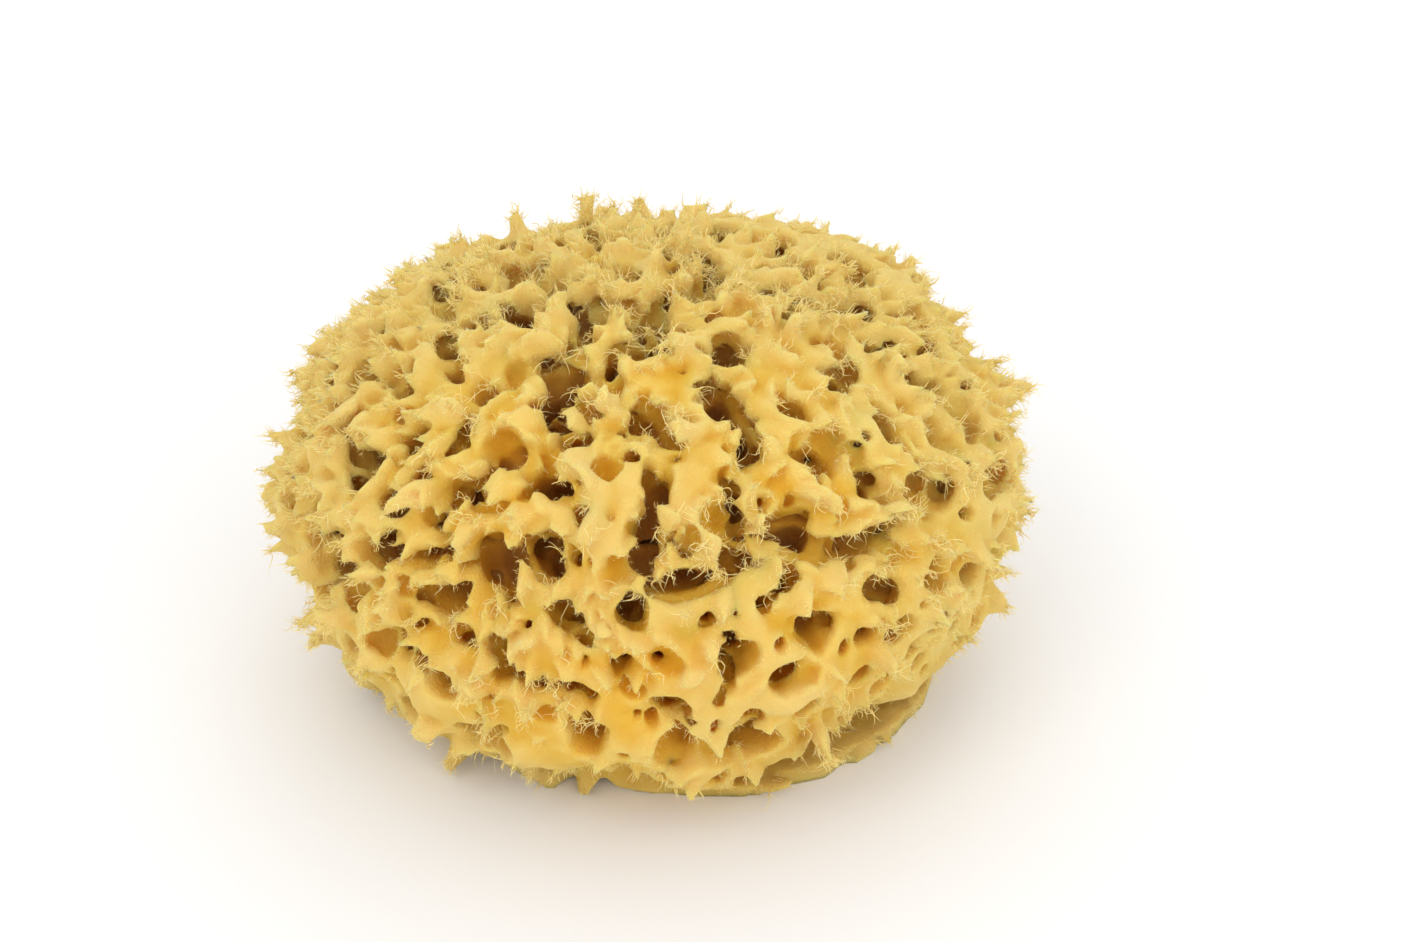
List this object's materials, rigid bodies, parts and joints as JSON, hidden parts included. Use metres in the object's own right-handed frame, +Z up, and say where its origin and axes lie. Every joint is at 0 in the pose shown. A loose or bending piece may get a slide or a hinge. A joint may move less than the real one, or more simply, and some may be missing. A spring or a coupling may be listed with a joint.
{
  "type": "sea sponge",
  "caption": "Dried honeycomb sea sponge, an ovoid full of wide canals with ragged tufted walls, cut off flat underneath.",
  "frame": {"origin": "middle of the sponge's outline, on the flat cut that it rests on", "axes": "+X to the right of the front view, along the sponge's longest extent; +Y to the back; +Z up, along its shortest extent"},
  "size_m": [0.15, 0.132, 0.091],
  "materials": {
    "sponge_fibre": "matte dried sponge fibre, straw at the wall ends and amber in the canals"
  },
  "bodies": {
    "root": {"sponge": "sponge_fibre"}
  },
  "joints": []
}
